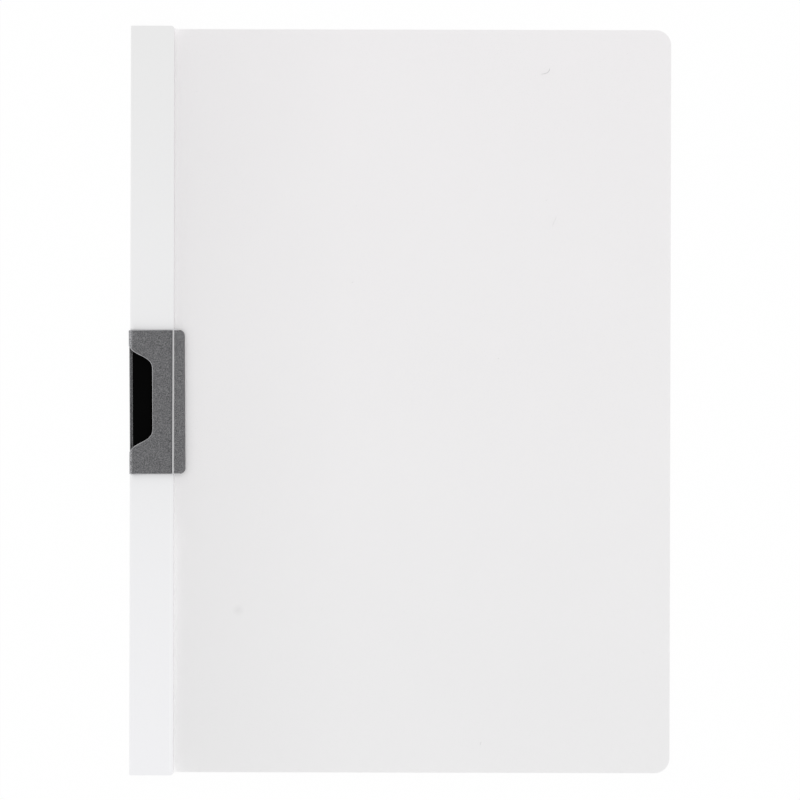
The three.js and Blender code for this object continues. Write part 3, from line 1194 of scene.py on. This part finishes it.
dice = np.random.default_rng(DUST_SEED)
dust_side = panel_side - DUST_MARGIN
speck_points = [on_cover(across, down) for across, down, _ in SPECKS]
speck_sizes = [size for _, _, size in SPECKS]
for _ in range(FINE_DUST):
    x = dice.uniform(DUST_LEFT, FOLDER_WIDTH - DUST_MARGIN)
    speck_points.append((x, dice.uniform(-dust_side, dust_side), cover_top(x)))
    speck_sizes.append(dice.uniform(*DUST_SIZES))
speck_mesh = grow_mesh("dust_specks", dust_tree, dust_sockets,
                       {"Flatness": 0.5, "Dust": dust_grey},
                       point_mesh("speck_points", speck_points, sizes=speck_sizes))
to_frame(speck_mesh, SPINE_X)
make_piece(speck_mesh, [dust_grey], "front_cover", (), ROUND_PIECE_ANGLE)

# %% [markdown]
# The hairs are grown one by one, because each has its own thickness.

# %% Lay the hairs
for number, (line, radius) in enumerate(HAIRS, start=1):
    hair_points = [on_cover(across, down) for across, down in line]
    hair_edges = [(i, i + 1) for i in range(len(line) - 1)]
    hair_mesh = grow_mesh(f"dust_hair_{number}", hair_tree, hair_sockets,
                          {"Radius": radius, "Dust": dust_grey},
                          point_mesh("hair_line", hair_points, hair_edges))
    to_frame(hair_mesh, SPINE_X)
    make_piece(hair_mesh, [dust_grey], "front_cover", (), ROUND_PIECE_ANGLE)

# %% [markdown]
# ## Table and light
#
# The light is soft and comes from everywhere, as in a photo tent, with a little more from the
# left, which picks out the clip's bend and the edge of its recess. The table is seen as plain
# white, and keeps part of the folder's shadow.

# %% Table
TABLE_SEEN_WHITE = 0.96
TABLE_HALF = 12.0
TABLE_LEVEL = -0.0001


def seen_share(tree):
    """One for what the camera sees, straight, mirrored or through film, and nothing else."""
    path = tree.nodes.new("ShaderNodeLightPath")
    seen = Term(tree, path.outputs["Is Camera Ray"])
    seen = seen.function("MAXIMUM", Term(tree, path.outputs["Is Glossy Ray"]))
    return seen.function("MAXIMUM", Term(tree, path.outputs["Is Transmission Ray"]))


def table_finish():
    material, tree, place = start_finish("table_white")
    grain = noise(tree, place, 300.0, 2.0)
    colour = mix_colours(tree, grain, (0.94, 0.94, 0.94, 1.0), (0.97, 0.97, 0.97, 1.0))
    matt = add_node(tree, "ShaderNodeBsdfDiffuse", {}, {"Color": colour})
    white = add_node(tree, "ShaderNodeEmission", {}, {"Strength": 1.0})
    mixed = add_node(tree, "ShaderNodeMixShader", {},
                     {0: seen_share(tree) * TABLE_SEEN_WHITE, 1: matt, 2: white})
    add_node(tree, "ShaderNodeOutputMaterial", {}, {"Surface": mixed})
    return material


table_mesh = bpy.data.meshes.new("table")
corners = [(-1, -1), (1, -1), (1, 1), (-1, 1)]
table_points = [(x * TABLE_HALF, y * TABLE_HALF, TABLE_LEVEL) for x, y in corners]
table_mesh.from_pydata(table_points, [], [(0, 1, 2, 3)])
table_mesh.materials.append(table_finish())
table = bpy.data.objects.new("table", table_mesh)
bpy.context.scene.collection.objects.link(table)
print("table laid,", 2 * TABLE_HALF, "metres wide")

# %% [markdown]
# Most of the light is the sky's, which comes evenly from all sides. One weak lamp low on the
# left gives the relief, and a large one overhead lifts the whole a little.

# %% Light
SKY_LEVEL = 1.06
LAMPS = [
    ("left_lamp", (-1.0, -0.2, 0.4), (0.0, 0.0, 0.0), 0.6, 1.0),
    ("high_lamp", (0.3, 0.0, 1.3), (0.05, 0.0, 0.0), 1.0, 2.2),
]


def set_sky():
    world = bpy.data.worlds.new("soft_room")
    bpy.context.scene.world = world
    world.use_nodes = True
    tree = world.node_tree
    tree.nodes.clear()
    level = SKY_LEVEL + seen_share(tree) * (1.0 - SKY_LEVEL)
    sky = add_node(tree, "ShaderNodeBackground", {}, {"Strength": level})
    add_node(tree, "ShaderNodeOutputWorld", {}, {"Surface": sky})


def add_lamp(name, place, aim, size, power):
    lamp = bpy.data.lights.new(name, "AREA")
    lamp.size = size
    lamp.energy = power
    holder = bpy.data.objects.new(name, lamp)
    bpy.context.scene.collection.objects.link(holder)
    direction = Vector(aim) - Vector(place)
    rotation = direction.to_track_quat("-Z", "Y").to_matrix().to_4x4()
    holder.matrix_world = Matrix.Translation(place) @ rotation
    print(name, "gives", power, "watts")


set_sky()
for lamp_values in LAMPS:
    add_lamp(*lamp_values)
scene = bpy.context.scene
scene.view_settings.view_transform = "Standard"

# %% [markdown]
# ## Camera
#
# The camera hangs straight above the folder. From a distance of 0.9 m the lens that fills the
# frame with 325 mm at the level of the strip follows from similar triangles. The folder lies a
# tenth of a degree askew in the picture, which is a small roll of the camera.

# %% Camera
FAR_LIMIT = 20.0

camera_data = bpy.data.cameras.new("overhead")
camera_data.sensor_width = SENSOR
camera_data.lens = SENSOR * CAMERA_HEIGHT / FRAME_WIDTH
camera_data.clip_end = FAR_LIMIT
camera = bpy.data.objects.new("overhead", camera_data)
camera.location = Vector(CAMERA_PLACE) * MM
camera.rotation_euler = (0.0, 0.0, CAMERA_ROLL)
scene.collection.objects.link(camera)
scene.camera = camera
print("lens", round(camera_data.lens, 2), "mm")
